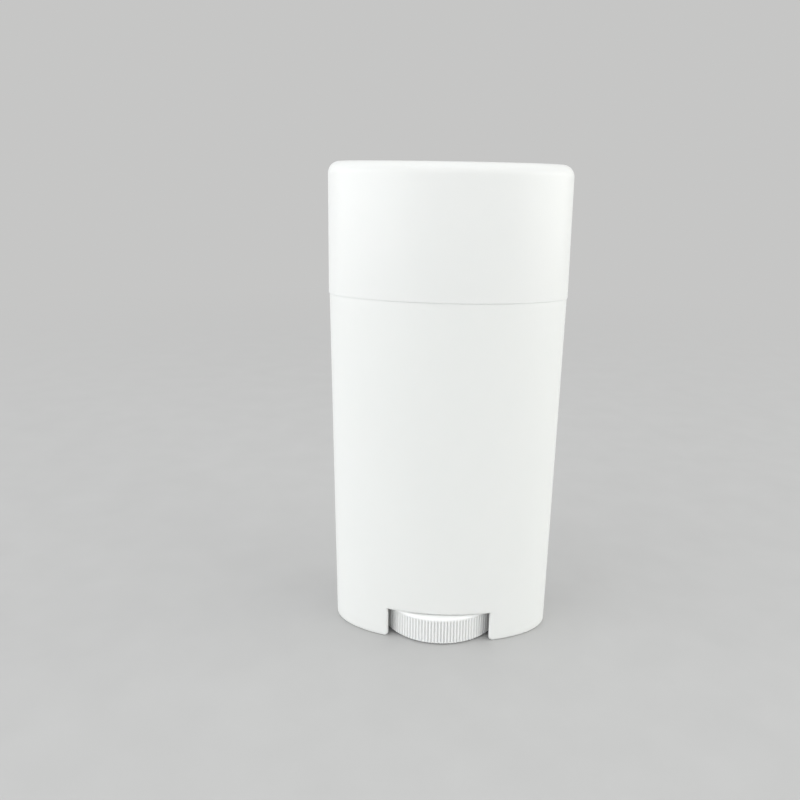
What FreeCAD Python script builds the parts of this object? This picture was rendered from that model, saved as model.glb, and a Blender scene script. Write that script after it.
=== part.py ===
"""Oval twist-up deodorant container: overcap, barrel, elevator cup and hand wheel with its screw.

Millimetres and degrees. +Z is up, +X runs along the oval's long axis and +Y along its short axis.
The origin is the centre of the base, in the plane on which the container stands.
"""
import FreeCAD, Part
import math
import os
import Sketcher

# The driving dimensions, one named cell each.
SIZES = {
    # Barrel: a tapered oval tube, widest at the shoulder on which the overcap stands.
    "barrel_width": 61.5,
    "barrel_depth": 32.7,
    "shoulder_height": 93.0,
    "barrel_draft": 0.5,
    "neck_height": 12.0,
    "neck_wall": 0.9,
    "bore_draft": 0.2,
    "floor_thickness": 1.6,
    "skirt_wall": 1.4,
    # Finger notches in the skirt, front and back, that bare the hand wheel.
    "notch_side_gap": 3.24,
    "notch_top_gap": 0.35,
    "foot_round": 1.2,
    "edge_round": 0.8,
    # Overcap: slides down over the neck and overhangs the shoulder a little.
    "cap_height": 32.5,
    "cap_overhang": 0.2,
    "cap_draft": 0.53,
    "cap_wall": 1.0,
    "cap_top_wall": 1.3,
    "cap_round": 3.0,
    "cap_fit_gap": 0.12,
    "seam_gap": 0.15,
    "seam_round": 0.2,
    # Hand wheel: a ribbed rim, web, spokes and hub, its top just under the barrel's floor.
    "wheel_lift": 0.4,
    "wheel_height": 7.6,
    "wheel_protrusion": 1.33,
    "wheel_band": 1.3,
    "wheel_round": 0.9,
    "wheel_chamfer": 0.3,
    "wheel_rim": 1.5,
    "wheel_web": 1.3,
    "wheel_floor_gap": 0.6,
    "rib_count": 120,
    "groove_depth": 0.3,
    "groove_width": 0.44,
    "spoke_count": 6,
    "spoke_thickness": 1.0,
    "spoke_recess": 0.8,
    "hub_radius": 5.0,
    "hub_core_radius": 1.9,
    # Screw: journal in the floor, snap collar above it, then a coarse single-start thread.
    "journal_radius": 4.6,
    "journal_gap": 0.08,
    "thrust_ring_width": 1.8,
    "thrust_gap": 0.15,
    "collar_height": 1.2,
    "collar_snap": 0.6,
    "screw_core_radius": 3.0,
    "screw_crest_radius": 4.2,
    "screw_lead": 4.0,
    "ridge_root_width": 2.0,
    "ridge_crest_width": 1.2,
    "thread_gap": 0.25,
    "flank_gap": 0.43,
    "screw_below_neck": 2.0,
    "screw_tip": 1.2,
    # Elevator: an oval cup that rides on the screw and carries the stick.
    "elevator_gap": 0.2,
    "elevator_lift": 0.6,
    "elevator_height": 9.0,
    "elevator_wall": 1.0,
    "elevator_plate": 1.3,
    "boss_wall": 1.6,
    "boss_height": 13.0,
    "nut_turns": 1.5,
    "gusset_thickness": 1.1,
    "gusset_reach": 4.0,
    "gusset_height": 9.5,
    "anchor_hole_radius": 2.2,
    "anchor_hole_spacing": 1.8,
}

TINY = 1e-3


def size(name):
    """The expression that reads one named cell."""
    return f"Sizes.{name}"


def lean(height, draft):
    """How far a drafted wall leans sideways over a height."""
    return f"({height}) * tan({size(draft)} * 1deg)"


# Heights above the table, as expressions on the driving sizes.
WHEEL_TOP = f"({size('wheel_lift')} + {size('wheel_height')})"
NOTCH_TOP = f"({WHEEL_TOP} + {size('notch_top_gap')})"
FLOOR_UNDER = f"({WHEEL_TOP} + {size('wheel_floor_gap')})"
FLOOR_TOP = f"({FLOOR_UNDER} + {size('floor_thickness')})"
SHOULDER = size("shoulder_height")
NECK_TOP = f"({SHOULDER} + {size('neck_height')})"
CAP_MOUTH = f"({SHOULDER} + {size('seam_gap')})"
ELEVATOR_REST = f"({FLOOR_TOP} + {size('elevator_lift')})"
COLLAR_BOTTOM = f"({FLOOR_TOP} + {size('thrust_gap')})"
COLLAR_TOP = f"({COLLAR_BOTTOM} + {size('collar_height')})"
THREAD_START = f"({COLLAR_TOP} + {size('ridge_root_width')} / 2 + {size('flank_gap')})"
SCREW_TOP = f"({NECK_TOP} - {size('screw_below_neck')})"
THREAD_END = f"({SCREW_TOP} - {size('screw_tip')} - {size('ridge_root_width')} / 2)"


def across(outside):
    """Width and depth of one oval, from what it adds to the barrel's own at the shoulder."""
    return f"({size('barrel_width')} + {outside})", f"({size('barrel_depth')} + {outside})"


def foot_oval():
    """The barrel's outside at the base."""
    return across(f"-2 * {lean(SHOULDER, 'barrel_draft')}")


def skirt_oval():
    """The inside of the skirt below the floor."""
    return across(f"-2 * {lean(SHOULDER, 'barrel_draft')} - 2 * {size('skirt_wall')}")


def cap_oval(height, inward):
    """The cap's outside at a height above its mouth, moved inward by a wall."""
    leaning = lean(height, "cap_draft")
    return across(f"2 * {size('cap_overhang')} - 2 * {leaning} - 2 * ({inward})")


NECK_INWARD = f"{size('cap_wall')} + {size('cap_fit_gap')}"
BORE_INWARD = f"{NECK_INWARD} + {size('neck_wall')}"


def bore_oval(height, inward="0"):
    """The barrel's bore at a height above the table, moved inward by a clearance."""
    leaning = lean(f"{NECK_TOP} - {height}", "bore_draft")
    return cap_oval(size("neck_height"), f"{BORE_INWARD} + {leaning} + {inward}")


# The wheel's rim stands out of the barrel's front and back by the protrusion.
WHEEL_RADIUS = f"({foot_oval()[1]} / 2 + {size('wheel_protrusion')})"
JOURNAL_HOLE = f"({size('journal_radius')} + {size('journal_gap')})"
COLLAR_RADIUS = f"({size('journal_radius')} + {size('collar_snap')})"
NUT_BORE = f"({size('screw_crest_radius')} + {size('thread_gap')})"
BOSS_RADIUS = f"({COLLAR_RADIUS} + {size('thread_gap')} + {size('boss_wall')})"


def notch_half_width():
    """Where the wheel's circle cuts the skirt's inner oval, plus the finger gap beside it."""
    half_width, half_depth = (f"({full} / 2)" for full in skirt_oval())
    slack = f"({WHEEL_RADIUS}^2 - {half_depth}^2) / (1 - {half_depth}^2 / {half_width}^2)"
    return f"(sqrt({slack}) + {size('notch_side_gap')})"


def ridge_width(radius):
    """Width of the screw's ridge at a radius, on its sloping flanks."""
    slope = (
        f"({size('ridge_root_width')} - {size('ridge_crest_width')})"
        f" / ({size('screw_crest_radius')} - {size('screw_core_radius')})"
    )
    return f"({size('ridge_root_width')} - ({radius} - {size('screw_core_radius')}) * {slope})"


def nut_width(radius):
    """Width of the nut's ridge at a radius: what the screw's groove leaves, less both flank gaps."""
    return f"({size('screw_lead')} - {ridge_width(radius)} - 2 * {size('flank_gap')})"


def make_sheet(doc):
    """Write the driving dimensions into one spreadsheet, name beside value."""
    sheet = doc.addObject("Spreadsheet::Sheet", "Sizes")
    for row, (name, value) in enumerate(SIZES.items(), start=1):
        sheet.set(f"A{row}", name)
        sheet.set(f"B{row}", str(value))
        sheet.setAlias(f"B{row}", name)
    doc.recompute()
    return sheet


def number(body, expression):
    """An expression's value now, for picking out edges by where they lie."""
    return float(body.evalExpression(expression))


def new_body(doc, label, height="0"):
    """An empty body whose own origin stands at a height above the table."""
    body = doc.addObject("PartDesign::Body", label)
    body.Label = label
    body.setExpression("Placement.Base.z", height)
    return body


def new_sketch(body, name, role, height="0"):
    """A sketch on one of the body's own origin planes, or raised above it by a height."""
    sketch = body.newObject("Sketcher::SketchObject", name)
    plane = next(item for item in body.Origin.OriginFeatures if item.Role == role)
    sketch.AttachmentSupport = [(plane, "")]
    sketch.MapMode = "FlatFace"
    sketch.setExpression(".AttachmentOffset.Base.z", height)
    return sketch


def constrain(sketch, expression, *constraint):
    """Add one dimension and bind it to an expression."""
    index = sketch.addConstraint(Sketcher.Constraint(*constraint))
    sketch.setExpression(f"Constraints[{index}]", expression)


def oval(body, name, across_both, height):
    """A horizontal ellipse about the body's own Z axis, as two halves that meet on the Y axis."""
    sketch = new_sketch(body, name, "XY_Plane", height)
    width, depth = (number(body, expression) for expression in across_both)
    ends = FreeCAD.Vector(width / 2, 0, 0), FreeCAD.Vector(0, depth / 2, 0)
    ellipse = Part.Ellipse(*ends, FreeCAD.Vector())
    for start in (-math.pi / 2, math.pi / 2):
        half = sketch.addGeometry(Part.ArcOfEllipse(ellipse, start, start + math.pi), False)
        sketch.exposeInternalGeometry(half)
        long_axis, short_axis = half + 1, half + 2
        sketch.addConstraint(Sketcher.Constraint("Coincident", half, 3, -1, 1))
        sketch.addConstraint(Sketcher.Constraint("Horizontal", long_axis))
        for end in (1, 2):
            sketch.addConstraint(Sketcher.Constraint("PointOnObject", half, end, -2))
        constrain(sketch, across_both[0], "Distance", long_axis, width)
        constrain(sketch, across_both[1], "Distance", short_axis, depth)
    return sketch


def circle(body, name, radius, height="0", centre=("0", "0")):
    """A horizontal circle at a height, its centre given as expressions."""
    sketch = new_sketch(body, name, "XY_Plane", height)
    at = FreeCAD.Vector(*(number(body, expression) for expression in centre), 0)
    sketch.addGeometry(Part.Circle(at, FreeCAD.Vector(0, 0, 1), number(body, radius)), False)
    constrain(sketch, radius, "Radius", 0, number(body, radius))
    constrain(sketch, centre[0], "DistanceX", -1, 1, 0, 3, at.x)
    constrain(sketch, centre[1], "DistanceY", -1, 1, 0, 3, at.y)
    return sketch


def outline(body, name, role, corners, height="0"):
    """A closed outline of straight edges; each corner is a pair of expressions."""
    sketch = new_sketch(body, name, role, height)
    points = [FreeCAD.Vector(number(body, u), number(body, v), 0) for u, v in corners]
    for index, point in enumerate(points):
        following = points[(index + 1) % len(points)]
        sketch.addGeometry(Part.LineSegment(point, following), False)
    for index, (u, v) in enumerate(corners):
        following = (index + 1) % len(corners)
        sketch.addConstraint(Sketcher.Constraint("Coincident", index, 2, following, 1))
        constrain(sketch, u, "DistanceX", -1, 1, index, 1, points[index].x)
        constrain(sketch, v, "DistanceY", -1, 1, index, 1, points[index].y)
    return sketch


def rectangle(body, name, role, low, high, height="0"):
    """A rectangle between two opposite corners."""
    corners = [low, (high[0], low[1]), high, (low[0], high[1])]
    return outline(body, name, role, corners, height)


def feature(body, kind, name, **settings):
    """Add a PartDesign feature with its settings and bring the document up to date."""
    item = body.newObject(f"PartDesign::{kind}", name)
    for setting, value in settings.items():
        setattr(item, setting, value)
    item.Refine = False
    body.Document.recompute()
    return item


def extrude(body, kind, name, sketch, length, **settings):
    """Pad or pocket a sketch by a length given as an expression."""
    item = feature(body, kind, name, Profile=sketch, **settings)
    item.setExpression("Length", length)
    body.Document.recompute()
    return item


def loft(body, kind, name, lower, upper):
    """A straight-sided tapered solid, or hollow, between two ovals."""
    return feature(body, f"{kind}Loft", name, Profile=lower, Sections=[upper], Ruled=True)


def dress(body, kind, name, wanted, extent):
    """Fillet or chamfer the edges of the body's tip that pass a test; extent is an expression."""
    tip = body.Tip
    edges = [f"Edge{n}" for n, edge in enumerate(tip.Shape.Edges, start=1) if wanted(edge)]
    if not edges:
        raise RuntimeError(f"{body.Label}: no edges found for {name}")
    item = body.newObject(f"PartDesign::{kind}", name)
    item.Base = (tip, edges)
    item.Refine = False
    item.setExpression("Radius" if kind == "Fillet" else "Size", extent)
    body.Document.recompute()
    return item


def repeat_round(body, name, item, count):
    """Repeat a feature evenly round the body's Z axis."""
    axis = next(part for part in body.Origin.OriginFeatures if part.Role == "Z_Axis")
    pattern = body.newObject("PartDesign::PolarPattern", name)
    pattern.Originals = [item]
    pattern.Axis = (axis, [""])
    pattern.Angle = 360
    pattern.Refine = False
    pattern.setExpression("Occurrences", count)
    body.Tip = pattern
    body.Document.recompute()
    return pattern


def mirror(body, name, items):
    """Repeat features on the other side of the body's YZ plane."""
    plane = next(part for part in body.Origin.OriginFeatures if part.Role == "YZ_Plane")
    pattern = body.newObject("PartDesign::Mirrored", name)
    pattern.Originals = items
    pattern.MirrorPlane = (plane, [""])
    pattern.Refine = False
    body.Tip = pattern
    body.Document.recompute()
    return pattern


def level(edge, height):
    """Whether an edge lies flat at a height."""
    return max(abs(edge.BoundBox.ZMin - height), abs(edge.BoundBox.ZMax - height)) < TINY


def reach(shape):
    """How far an edge or a face reaches from the body's YZ plane."""
    return max(shape.BoundBox.XMax, -shape.BoundBox.XMin)


def make_barrel(doc):
    """One moulding: tapered oval wall, recessed neck, floor, open skirt and two finger notches."""
    body = new_body(doc, "barrel")
    foot = oval(body, "foot_outline", foot_oval(), "0")
    shoulder = oval(body, "shoulder_outline", across("0"), SHOULDER)
    loft(body, "Additive", "wall", foot, shoulder)
    neck_foot = oval(body, "neck_foot_outline", cap_oval("0", NECK_INWARD), SHOULDER)
    neck_top = oval(body, "neck_top_outline", cap_oval(size("neck_height"), NECK_INWARD), NECK_TOP)
    loft(body, "Additive", "neck", neck_foot, neck_top)
    shoulder_height, neck_height = number(body, SHOULDER), number(body, NECK_TOP)
    neck_reach = number(body, cap_oval("0", NECK_INWARD)[0]) / 2

    def shoulder_or_neck_edge(edge):
        outer_step = level(edge, shoulder_height) and reach(edge) > neck_reach + TINY
        return outer_step or level(edge, neck_height)

    dress(body, "Fillet", "top_edges", shoulder_or_neck_edge, size("seam_round"))

    bore_foot = oval(body, "bore_foot_outline", bore_oval(FLOOR_TOP), FLOOR_TOP)
    bore_mouth = oval(body, "bore_mouth_outline", bore_oval(NECK_TOP), NECK_TOP)
    loft(body, "Subtractive", "bore", bore_foot, bore_mouth)

    well = oval(body, "well_outline", skirt_oval(), "0")
    extrude(body, "Pocket", "well", well, FLOOR_UNDER, Reversed=True)
    hole = circle(body, "spindle_hole_outline", JOURNAL_HOLE, "0")
    extrude(body, "Pocket", "spindle_hole", hole, FLOOR_TOP, Reversed=True)

    half_width = notch_half_width()
    low = f"-{half_width}", f"-{size('edge_round')}"
    notch = rectangle(body, "notch_outline", "XZ_Plane", low, (half_width, NOTCH_TOP))
    feature(body, "Pocket", "notches", Profile=notch, Type="ThroughAll", Midplane=True)

    def foot_corner(edge):
        return level(edge, 0) and edge.BoundBox.XLength < TINY

    dress(body, "Fillet", "foot_corners", foot_corner, size("foot_round"))
    notch_height = number(body, NOTCH_TOP)
    low_faces = [face for face in body.Tip.Shape.Faces if face.BoundBox.ZMin < notch_height]
    widest = max(reach(face) for face in low_faces)
    outside = [face for face in low_faces if reach(face) > widest - TINY]

    def lower_rim(edge):
        outer = any(edge.isSame(other) for face in outside for other in face.Edges)
        return outer and edge.BoundBox.ZMax < notch_height + TINY

    dress(body, "Fillet", "lower_rim", lower_rim, size("edge_round"))
    return body


def make_overcap(doc):
    """One moulding: a drafted oval cup, upside down, with a rounded top edge."""
    body = new_body(doc, "overcap", CAP_MOUTH)
    height = size("cap_height")
    mouth = oval(body, "mouth_outline", cap_oval("0", "0"), "0")
    top = oval(body, "top_outline", cap_oval(height, "0"), height)
    loft(body, "Additive", "shell", mouth, top)
    hollow_height = f"({height} - {size('cap_top_wall')})"
    inside_mouth = cap_oval("0", size("cap_wall"))
    inside_top = cap_oval(hollow_height, size("cap_wall"))
    hollow_mouth = oval(body, "hollow_mouth_outline", inside_mouth, "0")
    hollow_top = oval(body, "hollow_top_outline", inside_top, hollow_height)
    loft(body, "Subtractive", "hollow", hollow_mouth, hollow_top)

    top_height, roof = number(body, height), number(body, hollow_height)
    inside_reach = number(body, inside_mouth[0]) / 2
    inner_round = f"{size('cap_round')} - {size('cap_wall')}"
    dress(body, "Fillet", "top_edge", lambda e: level(e, top_height), size("cap_round"))
    dress(body, "Fillet", "hollow_edge", lambda e: level(e, roof), inner_round)

    def mouth_edge(edge):
        return level(edge, 0) and reach(edge) > inside_reach + TINY

    dress(body, "Fillet", "mouth_edge", mouth_edge, size("seam_round"))
    return body


def make_hand_wheel(doc):
    """One moulding: ribbed wheel with web, spokes and hub, and the screw that stands on it."""
    body = new_body(doc, "hand_wheel", size("wheel_lift"))

    def local(height):
        return f"({height} - {size('wheel_lift')})"

    top = size("wheel_height")
    web_under = f"({top} - {size('wheel_web')})"
    rim_inside = f"({WHEEL_RADIUS} - {size('wheel_rim')})"
    thrust_radius = f"({size('journal_radius')} + {size('thrust_ring_width')})"
    thrust_top = f"({local(FLOOR_UNDER)} - {size('thrust_gap')})"
    collar_middle = f"({local(COLLAR_BOTTOM)} + {size('collar_height')} / 2)"
    core, core_roof = size("screw_core_radius"), local(FLOOR_UNDER)
    profile = [
        (size("hub_core_radius"), size("spoke_recess")),
        (size("hub_radius"), size("spoke_recess")),
        (size("hub_radius"), web_under),
        (rim_inside, web_under),
        (rim_inside, "0"),
        (WHEEL_RADIUS, "0"),
        (WHEEL_RADIUS, top),
        (thrust_radius, top),
        (thrust_radius, thrust_top),
        (size("journal_radius"), thrust_top),
        (size("journal_radius"), local(COLLAR_BOTTOM)),
        (COLLAR_RADIUS, local(COLLAR_BOTTOM)),
        (COLLAR_RADIUS, collar_middle),
        (core, local(COLLAR_TOP)),
        (core, f"({local(SCREW_TOP)} - {size('screw_tip')})"),
        (f"({core} / 2)", local(SCREW_TOP)),
        ("0", local(SCREW_TOP)),
        ("0", core_roof),
        (size("hub_core_radius"), core_roof),
    ]
    section = outline(body, "wheel_section", "XZ_Plane", profile)
    feature(body, "Revolution", "wheel", Profile=section, ReferenceAxis=(section, ["V_Axis"]))
    radius = number(body, WHEEL_RADIUS)
    top_height = number(body, top)

    def rim_top(edge):
        return level(edge, top_height) and abs(reach(edge) - radius) < TINY

    def rim_bottom(edge):
        return level(edge, 0) and abs(reach(edge) - radius) < TINY

    dress(body, "Fillet", "wheel_top_edge", rim_top, size("wheel_round"))
    dress(body, "Chamfer", "wheel_bottom_edge", rim_bottom, size("wheel_chamfer"))

    half_thickness = f"{size('spoke_thickness')} / 2"
    spoke = rectangle(
        body,
        "spoke_outline",
        "XY_Plane",
        (f"({size('hub_radius')} - {half_thickness})", f"-{half_thickness}"),
        (f"({rim_inside} + {half_thickness})", half_thickness),
        size("spoke_recess"),
    )
    spoke_height = f"{web_under} - {size('spoke_recess')} + {half_thickness}"
    first_spoke = extrude(body, "Pad", "first_spoke", spoke, spoke_height)
    repeat_round(body, "spokes", first_spoke, size("spoke_count"))

    half_groove = f"{size('groove_width')} / 2"
    groove_floor = f"({WHEEL_RADIUS} - {size('groove_depth')})"
    past_rim = f"({WHEEL_RADIUS} + {size('groove_depth')})"
    groove = outline(
        body,
        "groove_outline",
        "XY_Plane",
        [
            (groove_floor, f"-{half_groove} / 2"),
            (past_rim, f"-{half_groove} * 3 / 2"),
            (past_rim, f"{half_groove} * 3 / 2"),
            (groove_floor, f"{half_groove} / 2"),
        ],
    )
    groove_height = f"{top} - {size('wheel_band')}"
    first_groove = extrude(body, "Pocket", "first_groove", groove, groove_height, Reversed=True)
    repeat_round(body, "grooves", first_groove, size("rib_count"))

    embed = f"({core} - {size('thread_gap')})"
    crest = size("screw_crest_radius")
    start = local(THREAD_START)
    ridge = outline(
        body,
        "ridge_outline",
        "XZ_Plane",
        [
            (embed, f"({start} - {ridge_width(embed)} / 2)"),
            (crest, f"({start} - {size('ridge_crest_width')} / 2)"),
            (crest, f"({start} + {size('ridge_crest_width')} / 2)"),
            (embed, f"({start} + {ridge_width(embed)} / 2)"),
        ],
    )
    wind(body, "thread", ridge, f"{THREAD_END} - {THREAD_START}")
    return body


def wind(body, name, profile, height):
    """Wind a right-handed ridge of the screw's lead round the body's Z axis."""
    helix = body.newObject("PartDesign::AdditiveHelix", name)
    helix.Profile = profile
    helix.ReferenceAxis = (profile, ["V_Axis"])
    helix.Mode = "pitch-height-angle"
    helix.Refine = False
    helix.setExpression("Pitch", size("screw_lead"))
    helix.setExpression("Height", height)
    body.Document.recompute()
    return helix


def make_elevator(doc):
    """One moulding: an oval cup, a threaded boss with gussets, and holes that key the stick."""
    body = new_body(doc, "elevator", ELEVATOR_REST)
    outer = oval(body, "cup_outline", bore_oval(ELEVATOR_REST, size("elevator_gap")), "0")
    extrude(body, "Pad", "cup", outer, size("elevator_height"))
    wall = f"{size('elevator_gap')} + {size('elevator_wall')}"
    inner_oval = bore_oval(ELEVATOR_REST, wall)
    inner = oval(body, "cup_hollow_outline", inner_oval, size("elevator_plate"))
    hollow_depth = f"{size('elevator_height')} - {size('elevator_plate')}"
    extrude(body, "Pocket", "cup_hollow", inner, hollow_depth, Reversed=True)

    boss = circle(body, "boss_outline", BOSS_RADIUS, "0")
    extrude(body, "Pad", "boss", boss, size("boss_height"))
    half_thickness = f"{size('gusset_thickness')} / 2"
    gusset_length = f"({BOSS_RADIUS} + {size('gusset_reach')})"
    along = rectangle(
        body,
        "long_gusset_outline",
        "XY_Plane",
        (f"-{gusset_length}", f"-{half_thickness}"),
        (gusset_length, half_thickness),
    )
    extrude(body, "Pad", "long_gussets", along, size("gusset_height"))
    cup_inside = f"({inner_oval[1]} / 2)"
    athwart = rectangle(
        body,
        "short_gusset_outline",
        "XY_Plane",
        (f"-{half_thickness}", f"-{cup_inside}"),
        (half_thickness, cup_inside),
    )
    extrude(body, "Pad", "short_gussets", athwart, size("elevator_height"))

    near = f"({gusset_length} + {size('anchor_hole_radius')} + {size('anchor_hole_spacing')})"
    far = f"({near} + 2 * {size('anchor_hole_radius')} + {size('anchor_hole_spacing')})"
    aside = f"({cup_inside} / 2)"
    holes = []
    for index, centre in enumerate([(near, "0"), (near, aside), (near, f"-{aside}"), (far, "0")]):
        ring = circle(body, f"anchor_outline_{index}", size("anchor_hole_radius"), "0", centre)
        through = size("elevator_plate")
        holes.append(extrude(body, "Pocket", f"anchor_{index}", ring, through, Reversed=True))
    mirror(body, "anchors_both_sides", holes)

    nut = circle(body, "nut_bore_outline", NUT_BORE, "0")
    feature(body, "Pocket", "nut_bore", Profile=nut, Type="ThroughAll", Midplane=True)
    collar_room = f"({COLLAR_RADIUS} + {size('thread_gap')})"
    recess = circle(body, "collar_recess_outline", collar_room, "0")
    recess_depth = f"({COLLAR_TOP} - {ELEVATOR_REST} + {size('elevator_lift')})"
    extrude(body, "Pocket", "collar_recess", recess, recess_depth, Reversed=True)

    start = f"({THREAD_START} - {ELEVATOR_REST} + {size('screw_lead')} / 2)"
    tip = f"({size('screw_core_radius')} + {size('thread_gap')})"
    embed = f"({NUT_BORE} + {size('thread_gap')})"
    ridge = outline(
        body,
        "nut_ridge_outline",
        "XZ_Plane",
        [
            (embed, f"({start} - {nut_width(embed)} / 2)"),
            (tip, f"({start} - {nut_width(tip)} / 2)"),
            (tip, f"({start} + {nut_width(tip)} / 2)"),
            (embed, f"({start} + {nut_width(embed)} / 2)"),
        ],
    )
    wind(body, "nut_thread", ridge, f"{size('nut_turns')} * {size('screw_lead')}")
    return body


def check(doc, bodies):
    """Stop before writing anything if an object failed or a solid is broken."""
    for item in doc.Objects:
        if {"Invalid", "Error"} & set(item.State):
            raise RuntimeError(f"{item.Name} failed: {item.State}")
    for body in bodies:
        shape = body.Shape
        if shape.isNull() or not shape.isValid() or len(shape.Solids) != 1:
            raise RuntimeError(f"{body.Label} is not one valid solid")


def main():
    """Build the container and write one STEP file for each moulding."""
    doc = FreeCAD.newDocument("OvalContainer")
    make_sheet(doc)
    bodies = [make_barrel(doc), make_overcap(doc), make_hand_wheel(doc), make_elevator(doc)]
    doc.recompute()
    check(doc, bodies)
    os.makedirs("parts", exist_ok=True)
    for body in bodies:
        body.Shape.exportStep(os.path.join("parts", f"{body.Label}.step"))
        box = body.Shape.optimalBoundingBox()
        print(f"{body.Label}: {body.Shape.Volume:.1f} mm3, Z {box.ZMin:.2f} to {box.ZMax:.2f}")


main()
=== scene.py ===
import math

import bmesh
import bpy
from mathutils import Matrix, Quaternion, Vector


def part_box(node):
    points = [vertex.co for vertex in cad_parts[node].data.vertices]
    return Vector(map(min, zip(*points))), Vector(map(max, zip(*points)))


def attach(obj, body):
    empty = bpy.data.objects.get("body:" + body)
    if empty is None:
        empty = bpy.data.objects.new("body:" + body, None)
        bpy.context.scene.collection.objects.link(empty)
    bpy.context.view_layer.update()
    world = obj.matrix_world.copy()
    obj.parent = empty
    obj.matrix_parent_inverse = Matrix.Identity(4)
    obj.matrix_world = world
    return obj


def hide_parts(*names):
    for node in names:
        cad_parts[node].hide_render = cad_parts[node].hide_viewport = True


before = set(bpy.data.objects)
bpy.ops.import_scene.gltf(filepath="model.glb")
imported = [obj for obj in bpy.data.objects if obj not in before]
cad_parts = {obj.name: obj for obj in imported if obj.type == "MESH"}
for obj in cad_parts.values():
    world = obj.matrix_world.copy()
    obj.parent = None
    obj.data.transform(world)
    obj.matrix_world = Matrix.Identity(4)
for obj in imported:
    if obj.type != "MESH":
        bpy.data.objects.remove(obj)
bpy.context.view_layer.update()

# ---------------------------------------------------------------- barrel
# The body of the pack: one injection moulding in white polypropylene, a tapered oval tube with a
# recessed neck for the cap, a floor with the spindle hole, and a skirt with a finger notch in
# front and behind. Everything else clips into it or onto it.
MM = 0.001


def half_size(node):
    """Half width, half depth, foot and top of a CAD node's box, in millimetres."""
    low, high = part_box(node)
    return high.x / MM, high.y / MM, low.z / MM, high.z / MM


SHOULDER_WIDE, SHOULDER_DEEP, _, NECK_TOP = half_size("barrel")
SHOULDER_Z = 93.0
BARREL_DRAFT = math.tan(math.radians(0.5))
BORE_DRAFT = math.tan(math.radians(0.2))
CAP_DRAFT = math.tan(math.radians(0.53))
NECK_STEP, NECK_ROOT, NECK_WALL = 0.92, 0.25, 0.9
SKIRT_WALL = 1.4
FLOOR_TOP, FLOOR_UNDER, FLOOR_ROUND = 10.2, 8.6, 0.6
SPINDLE_HOLE = 4.68
NOTCH_HALF, NOTCH_TOP = 13.832, 8.35
FOOT_ROUND, EDGE_ROUND, SEAM_ROUND = 1.2, 0.7, 0.05
FOOT_STEPS, EDGE_STEPS = 6, 5
SKIRT_ROWS = (0.0, 1.75, 4.4, 6.9, NOTCH_TOP)
WALL_ROWS, LAST_ROW = (9.9, 12.5, 18, 30, 50, 70, 85), 91

neck_inward = NECK_STEP + (NECK_TOP - SHOULDER_Z) * CAP_DRAFT
bore_inward = neck_inward + NECK_WALL
floor_inward = bore_inward + (NECK_TOP - FLOOR_TOP) * BORE_DRAFT
skirt_inward = SHOULDER_Z * BARREL_DRAFT + SKIRT_WALL


def round_corners(path, steps=6):
    """A section's (inward, height, radius) corners as plain points, each corner an arc."""
    points = []
    for index, (x, z, radius) in enumerate(path):
        here = Vector((x, z))
        if radius == 0:
            points.append(here)
            continue
        back = (Vector(path[index - 1][:2]) - here).normalized()
        on = (Vector(path[index + 1][:2]) - here).normalized()
        half_angle = back.angle(on) / 2
        centre = here + (back + on).normalized() * radius / math.sin(half_angle)
        first = here + back * radius / math.tan(half_angle) - centre
        last = here + on * radius / math.tan(half_angle) - centre
        sweep = first.angle_signed(last)
        for step in range(steps + 1):
            turn = -sweep * step / steps
            cos, sin = math.cos(turn), math.sin(turn)
            arm = Vector((first.x * cos - first.y * sin, first.x * sin + first.y * cos))
            points.append(centre + arm)
    return [(point.x, point.y) for point in points]


def oval_rings(half_width, half_depth, path):
    """Rings of a section: each point lies a distance inward of one oval, at a height."""
    return [(half_width - inward, half_depth - inward, z) for inward, z in path]


def wall_inward(height):
    """How far the outside wall lies inward of the shoulder."""
    return (SHOULDER_Z - height) * BARREL_DRAFT


# The section goes up the outside, over shoulder and neck, down the bore to the spindle hole and
# back down the inside of the skirt.
outside = [(wall_inward(z), z) for z in (*SKIRT_ROWS, *WALL_ROWS)]
neck_and_bore = round_corners(
    [
        (wall_inward(LAST_ROW), LAST_ROW, 0),
        (0, SHOULDER_Z, SEAM_ROUND),
        (NECK_STEP - NECK_ROOT, SHOULDER_Z, 0),
        (NECK_STEP, SHOULDER_Z + NECK_ROOT, 0),
        (neck_inward, NECK_TOP, SEAM_ROUND),
        (bore_inward, NECK_TOP, SEAM_ROUND),
        (floor_inward, FLOOR_TOP, FLOOR_ROUND),
        (floor_inward + 2 * FLOOR_ROUND, FLOOR_TOP, 0),
    ]
)
hole = [(SPINDLE_HOLE, SPINDLE_HOLE, z) for z in (FLOOR_TOP, FLOOR_UNDER)]
inside_skirt = [(skirt_inward, z) for z in (FLOOR_UNDER, *reversed(SKIRT_ROWS))]
barrel_rings = (
    oval_rings(SHOULDER_WIDE, SHOULDER_DEEP, outside + neck_and_bore)
    + hole
    + oval_rings(SHOULDER_WIDE, SHOULDER_DEEP, inside_skirt)
)

END_COLUMNS, NOTCH_COLUMNS = 72, 22
FIRST_COLUMN = 1.6


def stations(half_width):
    """Angles round one oval whose notch columns stand on the same planes in every ring."""
    side = math.acos(NOTCH_HALF / half_width)
    beside = math.acos((NOTCH_HALF + FIRST_COLUMN) / half_width)
    end = [beside * (1 - 2 * step / END_COLUMNS) for step in range(END_COLUMNS + 1)]
    end = [side, *end, -side]
    back = [
        math.acos(NOTCH_HALF / half_width * (1 - 2 * step / NOTCH_COLUMNS))
        for step in range(1, NOTCH_COLUMNS)
    ]
    right = [-angle for angle in end]
    left = [math.pi - angle for angle in end]
    front = [math.pi + angle for angle in back]
    return right + back + left + front


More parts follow.
